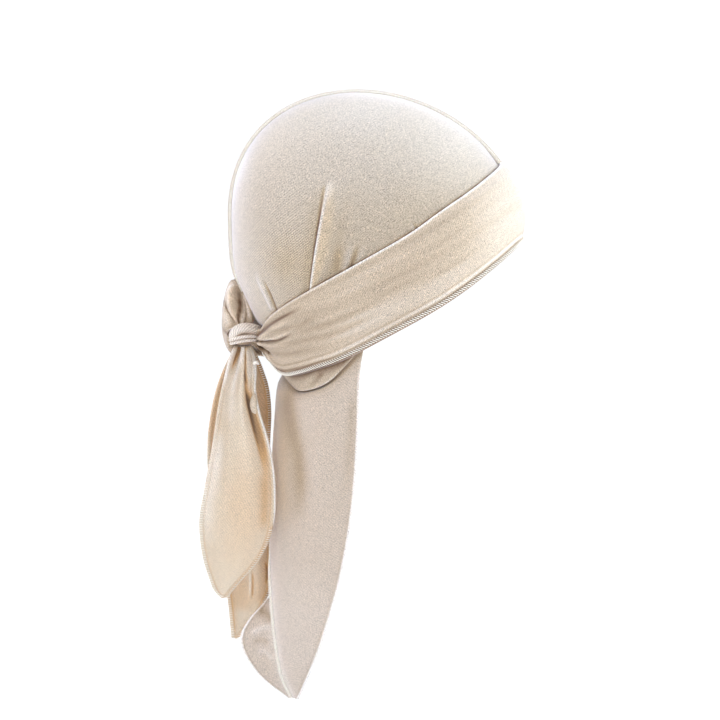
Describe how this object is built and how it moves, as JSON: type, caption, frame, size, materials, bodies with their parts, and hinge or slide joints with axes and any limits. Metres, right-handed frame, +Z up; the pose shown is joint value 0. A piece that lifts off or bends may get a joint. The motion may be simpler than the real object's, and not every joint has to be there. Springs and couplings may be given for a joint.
{
  "type": "durag",
  "caption": "Stretch cloth durag in its worn shape: seamed dome, wide strap wound round the brow, knot with hanging tails behind, and a neck flap.",
  "frame": {"origin": "highest point of the head that the crown sits on, which is the crown's inner top", "axes": "+X from the head's middle to the brow, +Y to the wearer's left, +Z up"},
  "size_m": [0.2157, 0.1576, 0.4056],
  "materials": {
    "crown_cloth": "satin",
    "strap_cloth": "satin",
    "cape_cloth": "satin",
    "seam_thread": "satin"
  },
  "bodies": {
    "root": {"crown_right": "crown_cloth", "crown_left": "crown_cloth", "crown_seam": "seam_thread", "forehead_wrap": "strap_cloth", "under_wrap": "strap_cloth", "knot": "strap_cloth", "tail_right": "strap_cloth", "tail_left": "strap_cloth", "cape_right": "cape_cloth", "cape_left": "cape_cloth", "cape_seam": "seam_thread"}
  },
  "joints": []
}
